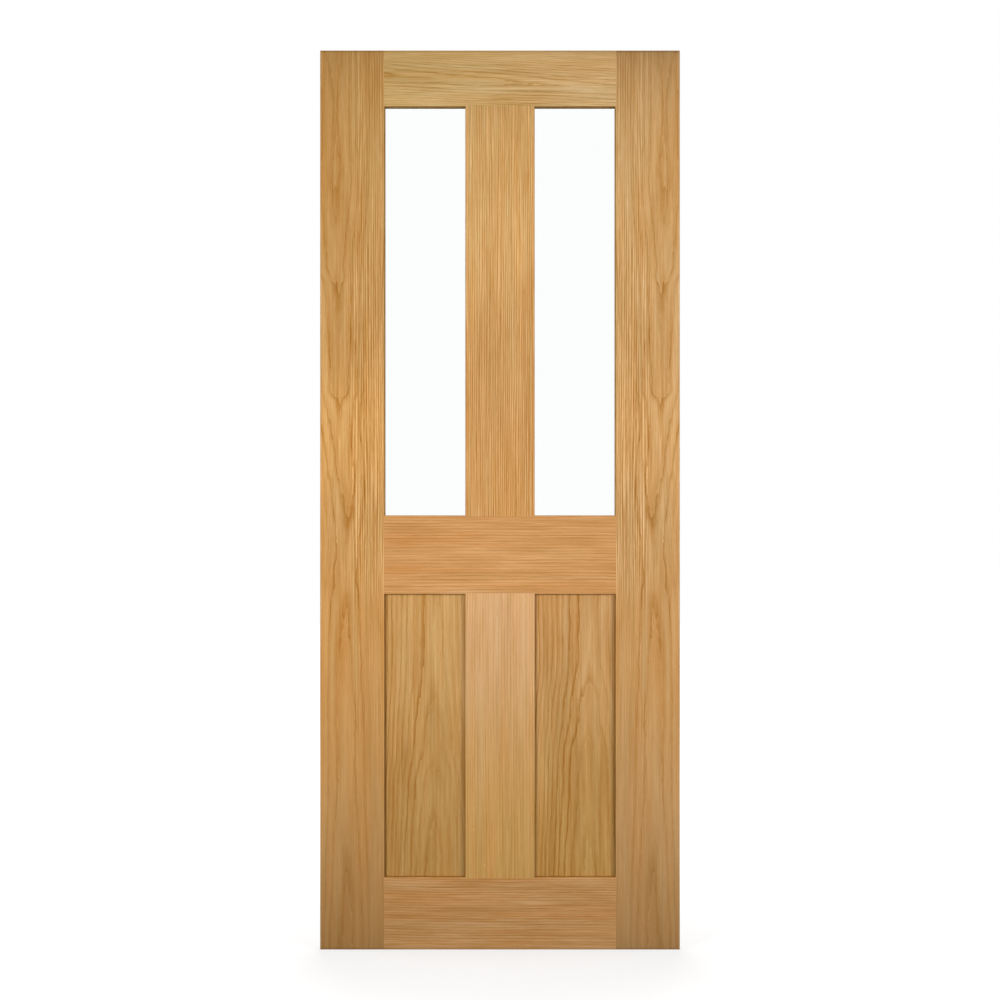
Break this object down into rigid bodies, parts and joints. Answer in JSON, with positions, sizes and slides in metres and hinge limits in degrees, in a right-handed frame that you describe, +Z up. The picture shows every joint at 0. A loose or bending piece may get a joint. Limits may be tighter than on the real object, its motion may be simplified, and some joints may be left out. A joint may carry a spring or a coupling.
{
  "type": "glazed interior door leaf",
  "caption": "Flat oak door leaf with tall clear panes side by side over recessed flat panels, framed by stiles, rails and mullions, with no hinges or handle.",
  "frame": {"origin": "foot of the hinge edge, halfway through the leaf's thickness", "axes": "+X across the leaf from the hinge edge to the lock edge, +Y from the front face to the back face, +Z up"},
  "size_m": [0.813, 0.035, 2.032],
  "materials": {
    "oak": "satin lacquer",
    "clear_glass": "polished",
    "glazing_tape": "matt foam"
  },
  "bodies": {
    "root": {"left_stile": "oak", "right_stile": "oak", "left_edge_lipping": "oak", "right_edge_lipping": "oak", "top_rail": "oak", "lock_rail": "oak", "bottom_rail": "oak", "upper_mullion": "oak", "lower_mullion": "oak", "left_panel": "oak", "right_panel": "oak", "left_pane_bottom_bead": "oak", "left_pane_right_bead": "oak", "left_pane_top_bead": "oak", "left_pane_left_bead": "oak", "right_pane_bottom_bead": "oak", "right_pane_right_bead": "oak", "right_pane_top_bead": "oak", "right_pane_left_bead": "oak", "left_glass": "clear_glass", "right_glass": "clear_glass", "left_glazing_tape": "glazing_tape", "right_glazing_tape": "glazing_tape"}
  },
  "joints": []
}
